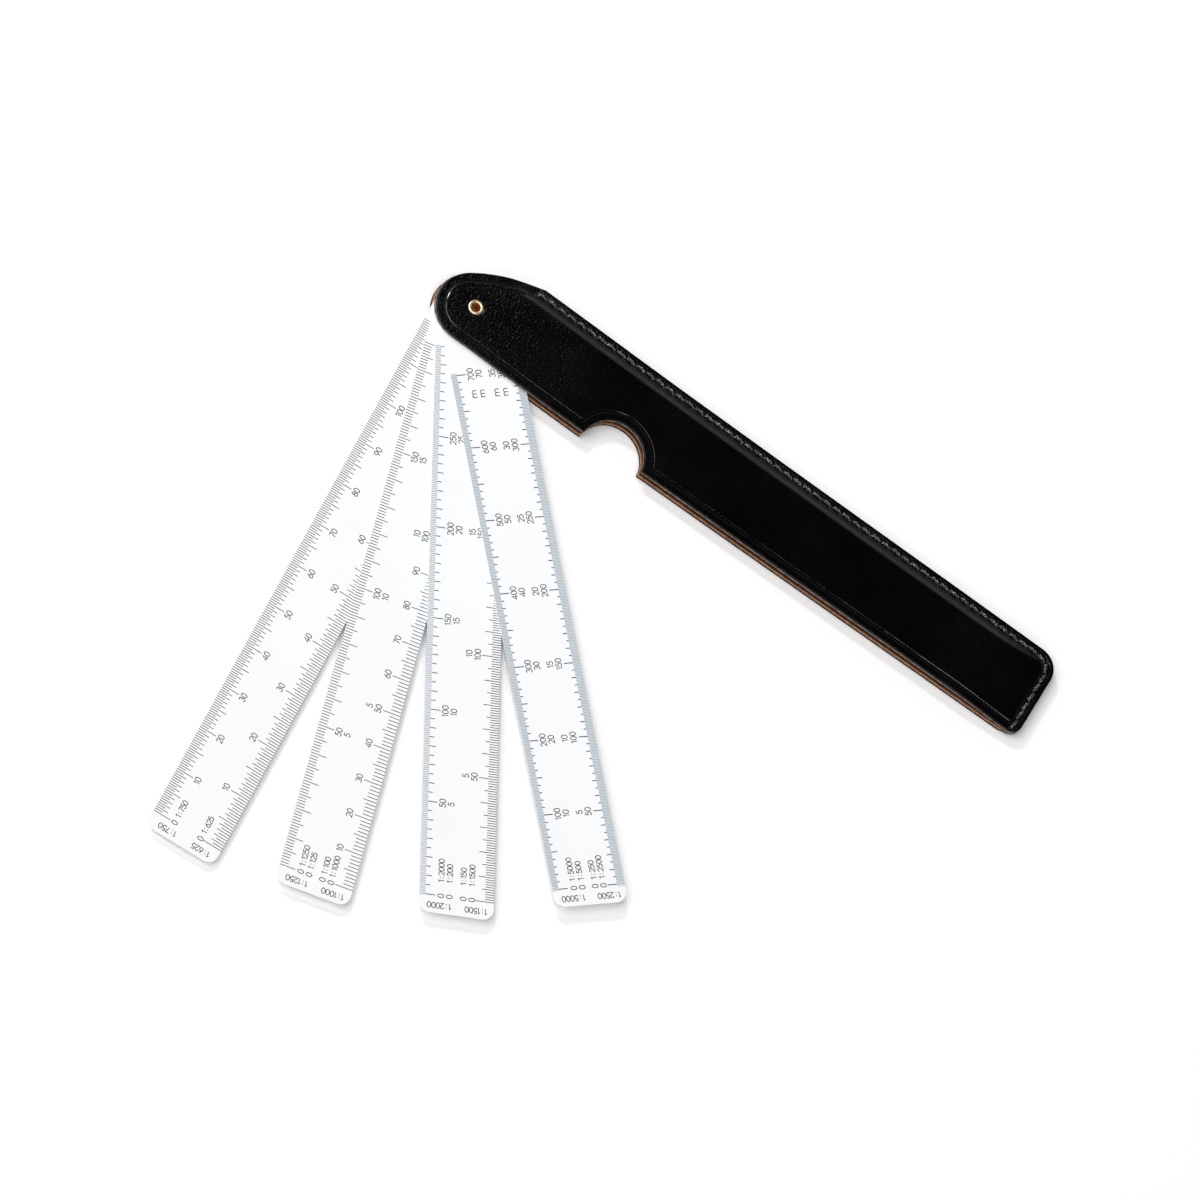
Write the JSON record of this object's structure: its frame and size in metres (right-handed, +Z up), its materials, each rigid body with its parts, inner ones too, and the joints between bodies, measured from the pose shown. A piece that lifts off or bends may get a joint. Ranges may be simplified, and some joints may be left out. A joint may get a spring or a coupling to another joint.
{
  "type": "pocket scale ruler",
  "caption": "Pocket fan of white scale blades on a brass eyelet, opened out of a black stitched leather sheath with a round thumb notch.",
  "frame": {"origin": "on the eyelet's axis, at the table that the back cover lies on", "axes": "+X along the sheath from the eyelet to its closed end, +Y to the stitched spine, +Z up along the eyelet's axis, out of the front cover"},
  "size_m": [0.19, 0.191, 0.0049],
  "materials": {
    "black_leather": "fine grained black cover leather, matt",
    "brass": "polished, slightly tarnished inside the bore",
    "white_plastic": "smooth white sheet with printed scales",
    "black_thread": "twisted black sewing thread"
  },
  "bodies": {
    "sheath": {"back_cover": "black_leather", "front_cover": "black_leather", "eyelet": "brass", "front_thread": "black_thread", "back_thread": "black_thread"},
    "blade_1": {"blade_1": "white_plastic"},
    "blade_2": {"blade_2": "white_plastic"},
    "blade_3": {"blade_3": "white_plastic"},
    "blade_4": {"blade_4": "white_plastic"}
  },
  "joints": [
    {"name": "blade_1_pivot", "type": "hinge", "parent": "sheath", "child": "blade_1", "pos_m": [0, 0, 0], "axis": [0, 0, 1], "range_deg": [-179.1, 85.9]},
    {"name": "blade_2_pivot", "type": "hinge", "parent": "sheath", "child": "blade_2", "pos_m": [0, 0, 0], "axis": [0, 0, 1], "range_deg": [-191.1, 73.9]},
    {"name": "blade_3_pivot", "type": "hinge", "parent": "sheath", "child": "blade_3", "pos_m": [0, 0, 0], "axis": [0, 0, 1], "range_deg": [-204.2, 60.8]},
    {"name": "blade_4_pivot", "type": "hinge", "parent": "sheath", "child": "blade_4", "pos_m": [0, 0, 0], "axis": [0, 0, 1], "range_deg": [-217.1, 47.9]}
  ]
}
